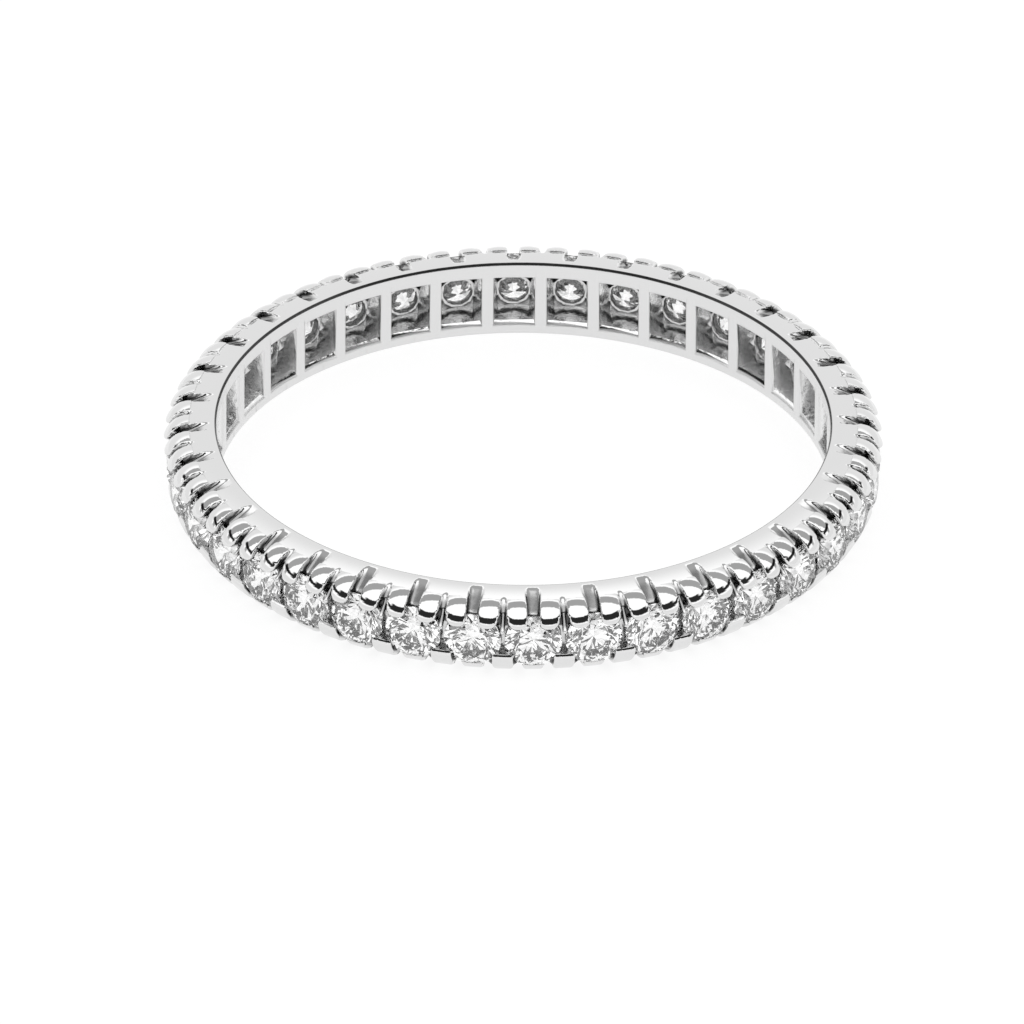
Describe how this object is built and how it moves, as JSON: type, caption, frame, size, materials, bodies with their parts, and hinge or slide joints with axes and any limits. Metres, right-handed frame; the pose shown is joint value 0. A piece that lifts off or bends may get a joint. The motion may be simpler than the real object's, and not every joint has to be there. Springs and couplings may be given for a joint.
{
  "type": "eternity ring",
  "caption": "Full eternity ring: a slim white metal band with one row of round brilliants all the way round, set between rounded claws over square windows.",
  "frame": {"origin": "on the axis of the finger hole, in the plane of the lower side face that the ring rests on", "axes": "+Z along the axis of the finger hole, up when the ring lies on its side; -Y towards stone_01"},
  "size_m": [0.02, 0.02, 0.0023],
  "materials": {
    "white_gold": "polished, with a satin finger wall",
    "diamond": "clear, faceted and polished"
  },
  "bodies": {
    "root": {"band": "white_gold", "stone_01": "diamond", "stone_02": "diamond", "stone_03": "diamond", "stone_04": "diamond", "stone_05": "diamond", "stone_06": "diamond", "stone_07": "diamond", "stone_08": "diamond", "stone_09": "diamond", "stone_10": "diamond", "stone_11": "diamond", "stone_12": "diamond", "stone_13": "diamond", "stone_14": "diamond", "stone_15": "diamond", "stone_16": "diamond", "stone_17": "diamond", "stone_18": "diamond", "stone_19": "diamond", "stone_20": "diamond", "stone_21": "diamond", "stone_22": "diamond", "stone_23": "diamond", "stone_24": "diamond", "stone_25": "diamond", "stone_26": "diamond", "stone_27": "diamond", "stone_28": "diamond", "stone_29": "diamond", "stone_30": "diamond", "stone_31": "diamond", "stone_32": "diamond", "stone_33": "diamond", "stone_34": "diamond", "stone_35": "diamond", "stone_36": "diamond"}
  },
  "joints": []
}
